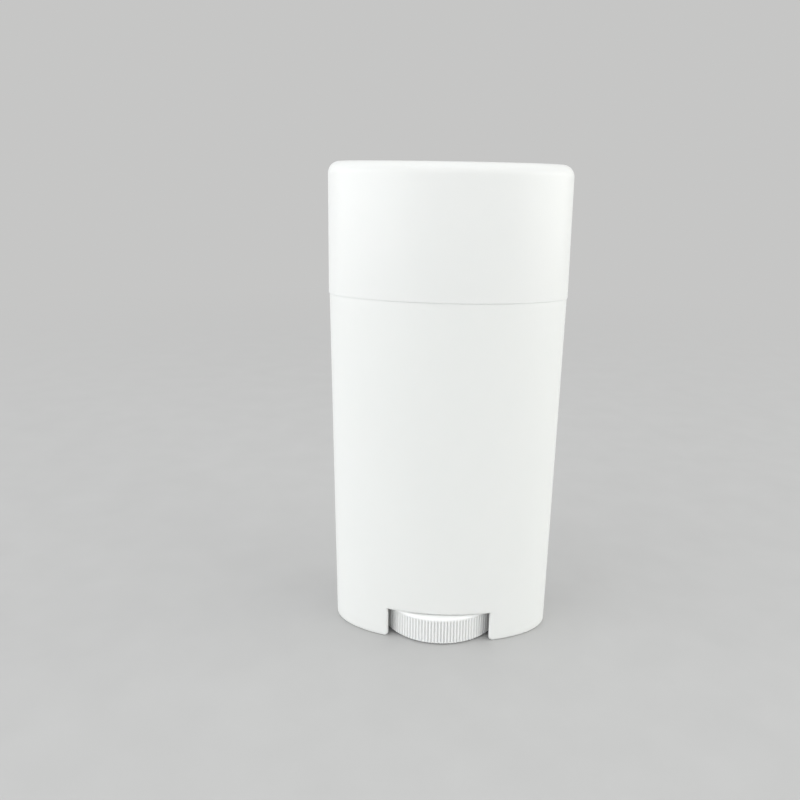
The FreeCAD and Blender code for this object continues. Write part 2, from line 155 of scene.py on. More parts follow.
# A grid of rows along the section and columns round the pack. The skirt's rows leave out the
# notches, whose tops and sides then join its outside to its inside.
foot_angles = stations(barrel_rings[0][0])
barrel = bmesh.new()
grid = []
for half_width, half_depth, z in barrel_rings:
    angles = stations(half_width) if half_width > NOTCH_HALF + FIRST_COLUMN else foot_angles
    spots = [(half_width * math.cos(t), half_depth * math.sin(t), z) for t in angles]
    grid.append([barrel.verts.new([length * MM for length in spot]) for spot in spots])
columns = len(foot_angles)
end_points = columns // 2 - (NOTCH_COLUMNS - 1)
notch_spans = [
    range(end_points - 1, end_points + NOTCH_COLUMNS - 1),
    range(2 * end_points + NOTCH_COLUMNS - 2, columns),
]
open_columns = {column for span in notch_spans for column in span}
skirt_rows = len(SKIRT_ROWS)
inner_top = len(grid) - skirt_rows
for row in range(len(grid)):
    following = (row + 1) % len(grid)
    in_skirt = row < skirt_rows - 1 or row >= inner_top
    for column in range(columns):
        if in_skirt and column in open_columns:
            continue
        beside = (column + 1) % columns
        here, there = grid[row], grid[following]
        barrel.faces.new((here[column], here[beside], there[beside], there[column]))
for span in notch_spans:
    top_out, top_in = grid[skirt_rows - 1], grid[inner_top]
    for column in span:
        beside = (column + 1) % columns
        barrel.faces.new((top_out[column], top_out[beside], top_in[beside], top_in[column]))
    for side in (span[0], (span[-1] + 1) % columns):
        for row in range(skirt_rows - 1):
            wall, higher = grid[len(grid) - 1 - row], grid[len(grid) - 2 - row]
            barrel.faces.new((grid[row][side], grid[row + 1][side], higher[side], wall[side]))
bmesh.ops.recalc_face_normals(barrel, faces=barrel.faces)

PLANE_TOUCH, OVAL_TOUCH = 1e-3, 4e-3
LEAST_WALL, LEAST_TURN = 0.5, math.radians(60)


def is_foot_corner(edge):
    """The short edges under the notch sides, where they meet the base."""
    a, b = (vert.co / MM for vert in edge.verts)
    on_side = all(abs(abs(point.x) - NOTCH_HALF) < PLANE_TOUCH for point in (a, b))
    on_base = max(abs(a.z), abs(b.z)) < PLANE_TOUCH
    return on_side and on_base and abs(a.y - b.y) > LEAST_WALL


def on_outside(vert):
    """Whether a vertex lies on the tapered outside wall below the notch tops."""
    x, y, z = vert.co / MM
    if z > NOTCH_TOP + PLANE_TOUCH:
        return False
    inward = wall_inward(z)
    wide, deep = SHOULDER_WIDE - inward, SHOULDER_DEEP - inward
    return abs((x / wide) ** 2 + (y / deep) ** 2 - 1) < OVAL_TOUCH


def is_lower_rim(edge):
    """The outside's own lower outline: base, notch sides and notch tops."""
    if not all(on_outside(vert) for vert in edge.verts):
        return False
    return edge.calc_face_angle(0) > LEAST_TURN


def round_edges(worked, edges, radius, steps):
    """Rolls a radius, in millimetres, along some edges of a bmesh."""
    bmesh.ops.bevel(
        worked,
        geom=edges,
        offset=radius * MM,
        offset_type="OFFSET",
        segments=steps,
        profile=0.5,
        affect="EDGES",
        clamp_overlap=False,
    )


corners = [edge for edge in barrel.edges if is_foot_corner(edge)]
round_edges(barrel, corners, FOOT_ROUND, FOOT_STEPS)
rim = [edge for edge in barrel.edges if is_lower_rim(edge)]
round_edges(barrel, rim, EDGE_ROUND, EDGE_STEPS)


def as_mesh(worked, name):
    """Turns a worked bmesh into a mesh and lets the bmesh go."""
    mesh = bpy.data.meshes.new(name)
    worked.to_mesh(mesh)
    worked.free()
    return mesh


def in_scene(name, data):
    """A new object at the origin that holds a mesh, a lamp or a camera."""
    holder = bpy.data.objects.new(name, data)
    bpy.context.scene.collection.objects.link(holder)
    return holder


barrel_mesh = as_mesh(barrel, "barrel_moulding")
barrel_mesh.shade_smooth()
barrel_piece = in_scene("barrel_moulding", barrel_mesh)


class Wire:
    """One socket in a node tree; arithmetic on it adds Math nodes to the tree."""

    def __init__(self, tree, socket=None):
        self.tree, self.socket = tree, socket

    def node(self, kind, settings, inputs, output=0):
        """Any other node: its type, its settings, then the values or links of its sockets."""
        made = self.tree.nodes.new(kind)
        for name, value in settings.items():
            setattr(made, name, value)
        for key, value in inputs.items():
            if isinstance(value, Wire):
                self.tree.links.new(value.socket, made.inputs[key])
            else:
                made.inputs[key].default_value = value
        return Wire(self.tree, made.outputs[output])

    def maths(self, operation, *values):
        """A Math node on any number of wires and plain numbers."""
        return self.node("ShaderNodeMath", {"operation": operation}, dict(enumerate(values)))

    def __add__(self, other):
        return self.maths("ADD", self, other)

    def __sub__(self, other):
        return self.maths("SUBTRACT", self, other)

    def __rsub__(self, other):
        return self.maths("SUBTRACT", other, self)

    def __mul__(self, other):
        return self.maths("MULTIPLY", self, other)

    def __truediv__(self, other):
        return self.maths("DIVIDE", self, other)

    def __rtruediv__(self, other):
        return self.maths("DIVIDE", other, self)

    __radd__ = __add__
    __rmul__ = __mul__


FLOW, CLOUD, WAVE, GRAIN = 26, 210, 90, 5200
MIDDLE = 0.5
FLOW_TINT, CLOUD_TINT = 0.9, 0.25
FLOW_GLOSS, GRAIN_GLOSS = 0.10, 0.12
DEEP_SHADE = (0.955, 0.965, 0.962)
GRAIN_DEPTH, GRAIN_STRENGTH = 0.03 * MM, 0.30
WAVE_DEPTH, WAVE_STRENGTH = 0.12 * MM, 0.25


def satin_white(name, colour, flow_axis, gloss=0.36, milky=0.6):
    """White polypropylene off a fine spark-eroded mould: satin, with faint flow in its colour."""
    material = bpy.data.materials.new(name)
    material.use_nodes = True
    net = Wire(material.node_tree)
    place = net.node("ShaderNodeTexCoord", {}, {}, "Object")
    stretch = net.node("ShaderNodeMapping", {}, {"Vector": place, "Scale": flow_axis})

    def noise(where, scale, detail, **others):
        """A noise texture in the wall, at a number of grains to the metre."""
        values = {"Vector": where, "Scale": scale, "Detail": detail, **others}
        return net.node("ShaderNodeTexNoise", {}, values)

    flow = noise(stretch, FLOW, detail=3, Distortion=0.6)
    cloud = noise(place, CLOUD, detail=2)
    wave = noise(stretch, WAVE, detail=1)
    grain = noise(place, GRAIN, detail=2, Roughness=0.6)
    tint = (flow - MIDDLE) * FLOW_TINT + (cloud - MIDDLE) * CLOUD_TINT + MIDDLE
    deep = tuple(channel * shade for channel, shade in zip(colour, DEEP_SHADE))
    ends = {0: tint, 6: (*deep, 1), 7: (*colour, 1)}
    mixed = net.node("ShaderNodeMix", {"data_type": "RGBA"}, ends, 2)
    rough = (flow - MIDDLE) * FLOW_GLOSS + (grain - MIDDLE) * GRAIN_GLOSS + gloss
    relief = net.node(
        "ShaderNodeBump",
        {},
        {"Strength": GRAIN_STRENGTH, "Distance": GRAIN_DEPTH, "Height": grain},
    )
    relief = net.node(
        "ShaderNodeBump",
        {},
        {"Strength": WAVE_STRENGTH, "Distance": WAVE_DEPTH, "Height": wave, "Normal": relief},
    )
    shader = net.tree.nodes["Principled BSDF"]
    for wire, key in ((mixed, "Base Color"), (rough, "Roughness"), (relief, "Normal")):
        net.tree.links.new(wire.socket, shader.inputs[key])
    shader.inputs["IOR"].default_value = 1.49
    shader.inputs["Specular IOR Level"].default_value = 0.5
    shader.inputs["Subsurface Weight"].default_value = 0.3
    shader.inputs["Subsurface Radius"].default_value = (1.0, 0.97, 0.93)
    shader.inputs["Subsurface Scale"].default_value = milky * MM
    return material


BARREL_WHITE, BARREL_FLOW = (0.815, 0.82, 0.805), (1, 1, 0.35)
barrel_finish = satin_white("barrel_polypropylene", BARREL_WHITE, BARREL_FLOW, gloss=0.38)
barrel_mesh.materials.append(barrel_finish)
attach(barrel_piece, "barrel")
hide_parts("barrel")

# ---------------------------------------------------------------- hand wheel and screw
# One moulding in white polypropylene that is pushed up through the barrel's floor until its snap
# collar clicks over the spindle hole: a ribbed wheel with web, spokes and hub, and the
# coarse right-hand screw that stands on it and carries the elevator.
FULL_TURN = 2 * math.pi
MERGE, SLIVER = 0.002, 0.0005
SHARP_ANGLE = math.radians(38)


def growth_tree(name, inputs):
    """An empty Geometry Nodes tree with a geometry input and other named inputs, as wires."""
    tree = bpy.data.node_groups.new(name, "GeometryNodeTree")
    tree.interface.new_socket("Geometry", in_out="OUTPUT", socket_type="NodeSocketGeometry")
    for label, kind in {"Geometry": "Geometry", **inputs, "Material": "Material"}.items():
        tree.interface.new_socket(label, in_out="INPUT", socket_type=f"NodeSocket{kind}")
    entry = tree.nodes.new("NodeGroupInput")
    return tree, {socket.name: Wire(tree, socket) for socket in entry.outputs if socket.name}


def end_tree(tree, wires, geometry):
    """Every tree ends in real geometry with its material set."""
    real = geometry.node("GeometryNodeRealizeInstances", {}, {"Geometry": geometry})
    painted = real.node(
        "GeometryNodeSetMaterial", {}, {"Geometry": real, "Material": wires["Material"]}
    )
    leave = tree.nodes.new("NodeGroupOutput")
    tree.links.new(painted.socket, leave.inputs["Geometry"])


def plain_mesh(piece):
    """What an object's modifiers make of it, as a mesh of its own; the modifiers go."""
    graph = bpy.context.evaluated_depsgraph_get()
    mesh = bpy.data.meshes.new_from_object(piece.evaluated_get(graph), depsgraph=graph)
    piece.modifiers.clear()
    return mesh


def grow(tree, seed, values):
    """What a tree makes of a seed mesh and its named inputs, as a plain mesh."""
    holder = in_scene(tree.name, seed)
    modifier = holder.modifiers.new(tree.name, "NODES")
    modifier.node_group = tree
    for item in tree.interface.items_tree:
        if item.in_out == "INPUT" and item.name in values:
            modifier[item.identifier] = values[item.name]
    grown = plain_mesh(holder)
    bpy.data.objects.remove(holder)
    return grown


def points_mesh(points):
    """Loose points, in millimetres, as the seed of a tree."""
    mesh = bpy.data.meshes.new("seed")
    mesh.from_pydata([Vector(point) * MM for point in points], [], [])
    return mesh


def closed_shell(*meshes):
    """Merges the open parts of one closed surface along their shared edges."""
    shell = bmesh.new()
    for mesh in meshes:
        shell.from_mesh(mesh)
    bmesh.ops.remove_doubles(shell, verts=shell.verts, dist=MERGE * MM)
    bmesh.ops.recalc_face_normals(shell, faces=shell.faces)
    for face in shell.faces:
        face.material_index = 0
    return as_mesh(shell, "shell")


def one_moulding(name, finish, main, *additions):
    """Fuses closed shells into one smooth piece, as they leave the mould."""
    piece = in_scene(name, main)
    helpers = [in_scene("addition", addition) for addition in additions]
    for helper in helpers:
        fuse = piece.modifiers.new("fuse", "BOOLEAN")
        fuse.operation, fuse.solver, fuse.object = "UNION", "MANIFOLD", helper
    fused = plain_mesh(piece)
    for helper in helpers:
        bpy.data.objects.remove(helper)
    clean = bmesh.new()
    clean.from_mesh(fused)
    bmesh.ops.dissolve_degenerate(clean, dist=SLIVER * MM, edges=clean.edges)
    clean.to_mesh(fused)
    clean.free()
    piece.data, fused.name = fused, name
    fused.materials.clear()
    fused.materials.append(finish)
    fused.shade_smooth()
    fused.set_sharp_from_angle(angle=SHARP_ANGLE)
    return piece


# Turns rings, given as points of half width, half depth and height, into an oval surface.
turning, given = growth_tree("oval_turning", {"Columns": "Int", "Start Angle": "Float"})
rings = given["Geometry"].node(
    "GeometryNodeAttributeDomainSize", {"component": "MESH"}, {"Geometry": given["Geometry"]}
)
stride = given["Columns"] + 1
sheet = rings.node("GeometryNodeMeshGrid", {}, {"Vertices X": rings, "Vertices Y": stride})
index = rings.node("GeometryNodeInputIndex", {}, {})
ring = index.maths("FLOOR", index / stride)
angle = index.maths("MODULO", index, stride) * FULL_TURN / given["Columns"]
angle = angle + given["Start Angle"]
section = rings.node(
    "GeometryNodeSampleIndex",
    {"data_type": "FLOAT_VECTOR"},
    {
        "Geometry": given["Geometry"],
        "Value": rings.node("GeometryNodeInputPosition", {}, {}),
        "Index": ring,
    },
)
half_width, half_depth, height = (
    section.node("ShaderNodeSeparateXYZ", {}, {0: section}, part) for part in range(3)
)
across = half_width * angle.maths("COSINE", angle)
along = half_depth * angle.maths("SINE", angle)
turned = section.node("ShaderNodeCombineXYZ", {}, {0: across, 1: along, 2: height})
wrapped = sheet.node("GeometryNodeSetPosition", {}, {"Geometry": sheet, "Position": turned})
end_tree(turning, given, wrapped)

# Sets copies of one shape evenly round the upright axis.
ring_of, given = growth_tree("repeat_round_the_axis", {"Count": "Int"})
spots = given["Geometry"].node("GeometryNodePoints", {}, {"Count": given["Count"]})
number = spots.node("GeometryNodeInputIndex", {}, {})
turn = spots.node("ShaderNodeCombineXYZ", {}, {2: number * FULL_TURN / given["Count"]})
copies = spots.node(
    "GeometryNodeInstanceOnPoints",
    {},
    {"Points": spots, "Instance": given["Geometry"], "Rotation": turn},
)
end_tree(ring_of, given, copies)

# Winds a ridge of trapezium section up the axis, as on a screw or in its nut.
RIDGE_SIZES = (
    "Turns",
    "Lead",
    "Middle Radius",
    "Start Height",
    "Inner Width",
    "Outer Width",
    "Depth",
)
winding, given = growth_tree(
    "screw_ridge", {**{label: "Float" for label in RIDGE_SIZES}, "Steps": "Int"}
)
spine = given["Geometry"].node(
    "GeometryNodeCurveSpiral",
    {},
    {
        "Resolution": given["Steps"],
        "Rotations": given["Turns"],
        "Start Radius": given["Middle Radius"],
        "End Radius": given["Middle Radius"],
        "Height": given["Turns"] * given["Lead"],
    },
)
spine = spine.node("GeometryNodeSetCurveNormal", {"mode": "Z_UP"}, {"Curve": spine})
flanks = spine.node(
    "GeometryNodeCurvePrimitiveQuadrilateral",
    {"mode": "TRAPEZOID"},
    {
        "Height": given["Depth"],
        "Bottom Width": given["Outer Width"],
        "Top Width": given["Inner Width"],
        "Offset": 0.0,
    },
)
quarter = spine.node(
    "GeometryNodeTransform", {}, {"Geometry": flanks, "Rotation": (0, 0, FULL_TURN / 4)}
)
ridge = spine.node(
    "GeometryNodeCurveToMesh", {}, {"Curve": spine, "Profile Curve": quarter, "Fill Caps": True}
)
lift = ridge.node("ShaderNodeCombineXYZ", {}, {2: given["Start Height"]})
ridge = ridge.node("GeometryNodeTransform", {}, {"Geometry": ridge, "Translation": lift})
end_tree(winding, given, ridge)

WHEEL_R, _, WHEEL_FOOT, SCREW_TOP = half_size("hand_wheel")
WHEEL_TOP, WHEEL_BAND, WHEEL_ROUND, WHEEL_CHAMFER = 8.1, 0.8, 0.7, 0.3
RIM_WALL, WEB = 1.5, 1.4
RIB_COUNT, GROOVE_DEPTH = 120, 0.60
GROOVE_RUN_OUT = ((0.05, 0.0), (-0.30, 0.30), (-0.80, 1.0))
ARC_STEPS = 3
HUB_R, HUB_CORE, SPOKE_FOOT = 5.0, 1.9, 1.2
WHEEL_WHITE, EVEN_FLOW = (0.92, 0.922, 0.915), (1, 1, 1)
wheel_finish = satin_white(
    "hand_wheel_polypropylene", WHEEL_WHITE, EVEN_FLOW, gloss=0.30, milky=0.1
)

# One sector of the wheel: a groove with half a rib on either side of it. A flank is steep where it
# leaves the groove's floor and runs round into the rib's crown.
HALF_PITCH = math.pi / RIB_COUNT
FLOOR_EDGE, FLANK, CROWN_EDGE = 0.33, 0.44, 0.68
ACROSS = (-1, -CROWN_EDGE, -FLANK, -FLOOR_EDGE, FLOOR_EDGE, FLANK, CROWN_EDGE, 1)
FLANK_POWER = 4


def groove(station):
    """The share of the groove's depth at a station across one rib's pitch, from -1 to 1."""
    off_crown = min((1 - abs(station)) / (1 - FLOOR_EDGE), 1)
    return off_crown**FLANK_POWER


band_foot = WHEEL_TOP - WHEEL_BAND
fillet = round_corners(
    [
        (2 * WHEEL_ROUND, WHEEL_TOP, 0),
        (0, WHEEL_TOP, WHEEL_ROUND),
        (0, WHEEL_TOP - 2 * WHEEL_ROUND, 0),
    ],
    ARC_STEPS,
)[1:-1]
rows = [(inward, z, 0.0) for inward, z in fillet]
rows += [(0, band_foot + rise, share) for rise, share in GROOVE_RUN_OUT]
rows += [(0, WHEEL_FOOT + WHEEL_CHAMFER, 1.0), (WHEEL_CHAMFER, WHEEL_FOOT, 0.0)]
tile = bmesh.new()


def tile_point(inward, z, station):
    """A vertex of one rib's sector of the wheel."""
    radius, angle = WHEEL_R - inward, station * HALF_PITCH
    return tile.verts.new((radius * math.cos(angle) * MM, radius * math.sin(angle) * MM, z * MM))


face_rows = [
    [tile_point(inward + GROOVE_DEPTH * share * groove(at), z, at) for at in ACROSS]
    for inward, z, share in rows
]
for upper, lower in zip(face_rows, face_rows[1:]):
    for k in range(len(ACROSS) - 1):
        tile.faces.new((upper[k], lower[k], lower[k + 1], upper[k + 1]))
inner_path = [
    (WHEEL_R - HUB_R, WHEEL_TOP),
    (WHEEL_R - HUB_R, WHEEL_TOP - WEB),
    (RIM_WALL, WHEEL_TOP - WEB),
    (RIM_WALL, WHEEL_FOOT),
]
hub_top, hub_under, rim_root, rim_foot = (
    [tile_point(inward, z, at) for at in (-1, 1)] for inward, z in inner_path
)
tile.faces.new((hub_top[0], *face_rows[0], hub_top[1]))
tile.faces.new((rim_foot[1], *reversed(face_rows[-1]), rim_foot[0]))
for one, two in ((hub_under, rim_root), (rim_root, rim_foot)):
    tile.faces.new((one[0], one[1], two[1], two[0]))
wheel_disc = grow(ring_of, as_mesh(tile, "seed"), {"Count": RIB_COUNT, "Material": wheel_finish})

# The hub's two ends, under and over the web, and the screw's core with its snap collar.
JOURNAL_R, COLLAR_R, CORE_R, CREST_R = 4.6, 5.2, 3.0, 4.2
THRUST_R, THRUST_TOP = 6.4, 8.45
COLLAR_FOOT, COLLAR_TOP = 10.35, 11.55
HUB_ROUND, COLLAR_ROUND, TIP_ROUND, TIP_HIGH = 0.2, 0.15, 0.3, 1.2
stem = [
    (-HUB_CORE, FLOOR_UNDER, 0),
    (-HUB_CORE, SPOKE_FOOT, HUB_ROUND),
    (-HUB_R, SPOKE_FOOT, HUB_ROUND),
    (-HUB_R, WHEEL_TOP - WEB, 0),
]
spindle = [
    (-HUB_R, WHEEL_TOP, 0),
    (-THRUST_R, WHEEL_TOP, 0),
    (-THRUST_R, THRUST_TOP, COLLAR_ROUND),
    (-JOURNAL_R, THRUST_TOP, 0),
    (-JOURNAL_R, COLLAR_FOOT, 0),
    (-COLLAR_R, COLLAR_FOOT, COLLAR_ROUND),
    (-COLLAR_R, (COLLAR_FOOT + COLLAR_TOP) / 2, COLLAR_ROUND),
    (-CORE_R, COLLAR_TOP, 0),
    (-CORE_R, SCREW_TOP - TIP_HIGH, TIP_ROUND),
    (-CORE_R / 2, SCREW_TOP, TIP_ROUND),
    (0, SCREW_TOP, 0),
]
hub_rings = (
    [(0, 0, FLOOR_UNDER)] + oval_rings(0, 0, round_corners(stem, ARC_STEPS)),
    oval_rings(0, 0, round_corners(spindle, ARC_STEPS)),
)
hub_values = {"Columns": RIB_COUNT, "Start Angle": HALF_PITCH, "Material": wheel_finish}
hub_ends = [grow(turning, points_mesh(part), hub_values) for part in hub_rings]

LEAD, ROOT_WIDE, CREST_WIDE = 4.0, 2.0, 1.2
THREAD_FOOT, THREAD_TOP, STEPS_A_TURN = 12.98, 100.8, 48
ridge_values = {
    "Lead": LEAD * MM,
    "Start Height": THREAD_FOOT * MM,
    "Turns": (THREAD_TOP - THREAD_FOOT) / LEAD,
    "Middle Radius": (CORE_R + CREST_R) / 2 * MM,
    "Inner Width": ROOT_WIDE * MM,
    "Outer Width": CREST_WIDE * MM,
    "Depth": (CREST_R - CORE_R) * MM,
    "Steps": STEPS_A_TURN,
    "Material": wheel_finish,
}
screw_ridge = grow(winding, points_mesh([(0, 0, 0)]), ridge_values)

SPOKE_COUNT, SPOKE_THICK, SPOKE_ROUND = 6, 1.0, 0.15
BITE, BLOCK_STEPS = 0.4, 2


def block(corner, opposite, rounding):
    """A box between two opposite corners, in millimetres, its edges a little rounded."""
    low = Vector(map(min, corner, opposite))
    high = Vector(map(max, corner, opposite))
    solid = bmesh.new()
    bmesh.ops.create_cube(solid, size=1)
    middle, extent = (low + high) / 2, high - low
    for vert in solid.verts:
        vert.co = Vector(c * e + m for c, e, m in zip(vert.co, extent, middle)) * MM
    round_edges(solid, solid.edges[:], rounding, BLOCK_STEPS)
    return as_mesh(solid, "seed")


spoke = block(
    (HUB_R - BITE, -SPOKE_THICK / 2, SPOKE_FOOT),
    (WHEEL_R - RIM_WALL + BITE, SPOKE_THICK / 2, WHEEL_TOP - WEB + BITE),
    SPOKE_ROUND,
)
spokes = grow(ring_of, spoke, {"Count": SPOKE_COUNT, "Material": wheel_finish})
wheel_piece = one_moulding(
    "hand_wheel_moulding",
    wheel_finish,
    closed_shell(wheel_disc, *hub_ends),
    closed_shell(spokes),
    closed_shell(screw_ridge),
)
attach(wheel_piece, "hand_wheel")
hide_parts("hand_wheel")

# ---------------------------------------------------------------- elevator
# The oval cup that carries the stick: one moulding in white polypropylene, screwed down on the
# spindle from above until it nearly meets the floor. Its boss holds the nut thread, gussets
# stiffen the plate, and the stick keys into the holes.
CUP_WIDE, CUP_DEEP, CUP_FOOT, BOSS_TOP = half_size("elevator")
CUP_HEIGHT, CUP_WALL, CUP_PLATE = 9.0, 1.0, 1.3
CUP_RIM, PLATE_TOP = CUP_FOOT + CUP_HEIGHT, CUP_FOOT + CUP_PLATE
BOSS_R, NUT_R, COLLAR_ROOM, ROOM_TOP = 7.05, 4.45, 5.45, 12.15
FOOT_EASE, RIM_EASE, PLATE_EASE, ROOM_EASE = 0.2, 0.25, 0.3, 0.1
FOOT_FLAT, CUP_FLAT, BOSS_FLAT = 0.6, 1.2, 0.8
CUP_COLUMNS = 128
cup = round_corners(
    [
        (FOOT_FLAT, CUP_FOOT, 0),
        (0, CUP_FOOT, FOOT_EASE),
        (0, CUP_RIM, RIM_EASE),
        (CUP_WALL, CUP_RIM, RIM_EASE),
        (CUP_WALL, PLATE_TOP, PLATE_EASE),
        (CUP_WALL + CUP_FLAT, PLATE_TOP, 0),
    ],
    ARC_STEPS,
)
boss = round_corners(
    [
        (-BOSS_R - BOSS_FLAT, PLATE_TOP, 0),
        (-BOSS_R, PLATE_TOP, PLATE_EASE),
        (-BOSS_R, BOSS_TOP, RIM_EASE),
        (-NUT_R, BOSS_TOP, RIM_EASE),
        (-NUT_R, ROOM_TOP, 0),
        (-COLLAR_ROOM, ROOM_TOP, 0),
        (-COLLAR_ROOM, CUP_FOOT, ROOM_EASE),
        (-COLLAR_ROOM - FOOT_FLAT, CUP_FOOT, 0),
    ],
    ARC_STEPS,
)
ELEVATOR_WHITE = (0.78, 0.785, 0.775)
elevator_finish = satin_white("elevator_polypropylene", ELEVATOR_WHITE, EVEN_FLOW)
cup_rings = oval_rings(CUP_WIDE, CUP_DEEP, cup) + oval_rings(0, 0, boss)
shell = grow(
    turning,
    points_mesh(cup_rings + cup_rings[:1]),
    {"Columns": CUP_COLUMNS, "Material": elevator_finish},
)

# Drills holes through a plate, one at each vertex of another mesh.
drilling, given = growth_tree(
    "drilled_holes", {"Centres": "Object", "Radius": "Float", "Depth": "Float", "Sides": "Int"}
)
centres = given["Geometry"].node("GeometryNodeObjectInfo", {}, {"Object": given["Centres"]}, 4)
drill = centres.node(
    "GeometryNodeMeshCylinder",
    {},
    {"Vertices": given["Sides"], "Radius": given["Radius"], "Depth": given["Depth"]},
)
drills = centres.node("GeometryNodeInstanceOnPoints", {}, {"Points": centres, "Instance": drill})
drills = drills.node("GeometryNodeRealizeInstances", {}, {"Geometry": drills})
holed = drills.node(
    "GeometryNodeMeshBoolean",
    {"operation": "DIFFERENCE", "solver": "EXACT"},
    {"Mesh 1": given["Geometry"], "Mesh 2": drills},
)
end_tree(drilling, given, holed)

HOLE_R, GAP = 2.2, 1.8
DRILL_DEPTH, DRILL_SIDES = 4.0, 40
GUSSET_REACH, GUSSET_HIGH, GUSSET_THICK, GUSSET_ROUND = 11.05, 9.5, 1.1, 0.2
near = GUSSET_REACH + HOLE_R + GAP
far = near + 2 * HOLE_R + GAP
aside = (CUP_DEEP - CUP_WALL) / 2
hole_centres = [
    (side * x, y, CUP_FOOT + CUP_PLATE / 2)
    for side in (-1, 1)
    for x, y in ((near, 0), (near, aside), (near, -aside), (far, 0))
]
marks = in_scene("marks", points_mesh(hole_centres))
plate = grow(
    drilling,
    closed_shell(shell),
    {
        "Centres": marks,
        "Radius": HOLE_R * MM,
        "Depth": DRILL_DEPTH * MM,
        "Sides": DRILL_SIDES,
        "Material": elevator_finish,
    },
)
bpy.data.objects.remove(marks)

# Two long gussets, two short ones that stop just under the rim, and the nut's ridge.
GUSSET_BITE, UNDER_RIM = 0.5, 0.1
gusset_start, gusset_foot = BOSS_R - GUSSET_BITE, CUP_FOOT + GUSSET_BITE
gussets = [
    block(
        (side * gusset_start, -GUSSET_THICK / 2, gusset_foot),
        (side * GUSSET_REACH, GUSSET_THICK / 2, CUP_FOOT + GUSSET_HIGH),
        GUSSET_ROUND,
    )
    for side in (-1, 1)
]
gussets += [
    block(
        (-GUSSET_THICK / 2, side * gusset_start, gusset_foot),
        (GUSSET_THICK / 2, side * (CUP_DEEP - CUP_WALL + BITE), CUP_RIM - UNDER_RIM),
        GUSSET_ROUND,
    )
    for side in (-1, 1)
]
NUT_TIP, NUT_ROOT, NUT_TURNS = 3.25, 4.7, 1.5
NUT_TIP_WIDE, NUT_ROOT_WIDE = 1.3, 2.2
nut_ridge = grow(
    winding,
    points_mesh([(0, 0, 0)]),
    {
        **ridge_values,
        "Start Height": (THREAD_FOOT + LEAD / 2) * MM,
        "Turns": NUT_TURNS,
        "Middle Radius": (NUT_TIP + NUT_ROOT) / 2 * MM,
        "Inner Width": NUT_TIP_WIDE * MM,
        "Outer Width": NUT_ROOT_WIDE * MM,
        "Depth": (NUT_ROOT - NUT_TIP) * MM,
        "Material": elevator_finish,
    },
)
elevator_piece = one_moulding(
    "elevator_moulding",
    elevator_finish,
    closed_shell(plate),
    *(closed_shell(part) for part in (*gussets, nut_ridge)),
)
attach(elevator_piece, "elevator")
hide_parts("elevator")

# ---------------------------------------------------------------- overcap
# A drafted oval cup in white polypropylene, pushed down over the neck until its rim meets the
# shoulder, which it overhangs a little. Its top edge is well rounded, inside and out.
CAP_WIDE, CAP_DEEP, CAP_FOOT, CAP_TOP = half_size("overcap")
CAP_HEIGHT = CAP_TOP - CAP_FOOT
CAP_WALL, ROOF, CAP_ROUND, ROOF_FLAT = 1.0, 1.3, 3.0, 3.0
CAP_COLUMNS, CAP_STEPS = 256, 10
CAP_WHITE, CAP_FLOW = (0.82, 0.823, 0.81), (1, 1, 0.5)
SEAM_GAP = 0.02
cap_rim = SHOULDER_Z + SEAM_GAP
cap_lean = CAP_HEIGHT * CAP_DRAFT
roof_lean = (CAP_HEIGHT - ROOF) * CAP_DRAFT
roof_edge = cap_lean + CAP_ROUND + ROOF_FLAT
cap_path = round_corners(
    [
        (roof_edge, CAP_TOP, 0),
        (cap_lean, CAP_TOP, CAP_ROUND),
        (0, cap_rim, SEAM_ROUND),
        (CAP_WALL, cap_rim, 0),
        (CAP_WALL + roof_lean, CAP_TOP - ROOF, CAP_ROUND - CAP_WALL),
        (roof_edge, CAP_TOP - ROOF, 0),
    ],
    CAP_STEPS,
)
cap_rings = [
    (0, 0, CAP_TOP),
    *oval_rings(CAP_WIDE, CAP_DEEP, cap_path),
    (0, 0, CAP_TOP - ROOF),
]
cap_finish = satin_white("overcap_polypropylene", CAP_WHITE, CAP_FLOW, gloss=0.38)
cap_values = {"Columns": CAP_COLUMNS, "Material": cap_finish}
cap_shell = grow(turning, points_mesh(cap_rings), cap_values)
cap_piece = one_moulding("overcap_moulding", cap_finish, closed_shell(cap_shell))
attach(cap_piece, "overcap")
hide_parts("overcap")

# ---------------------------------------------------------------- stage
# A plain pale floor that runs out of sight into a pale room, lit softly from both sides and a
# little from above. It is no piece of the pack.
FLOOR_RADIUS, FLOOR_SIDES = 6.0, 96
FADE_FROM, FADE_TO = 0.12, 0.75
FLOOR_DARK, FLOOR_LIGHT = (0.50, 0.50, 0.495, 1), (0.54, 0.54, 0.535, 1)
ROOM_TONE, DAYLIGHT = (0.565, 0.565, 0.56, 1), (0.985, 0.99, 1, 1)


def background_rays(net):
    """1 on each ray that shows the room: to the camera, in gloss and through clear pieces."""
    seen, mirrored, through = (
        net.node("ShaderNodeLightPath", {}, {}, name)
        for name in ("Is Camera Ray", "Is Glossy Ray", "Is Transmission Ray")
    )
    return seen + mirrored + through


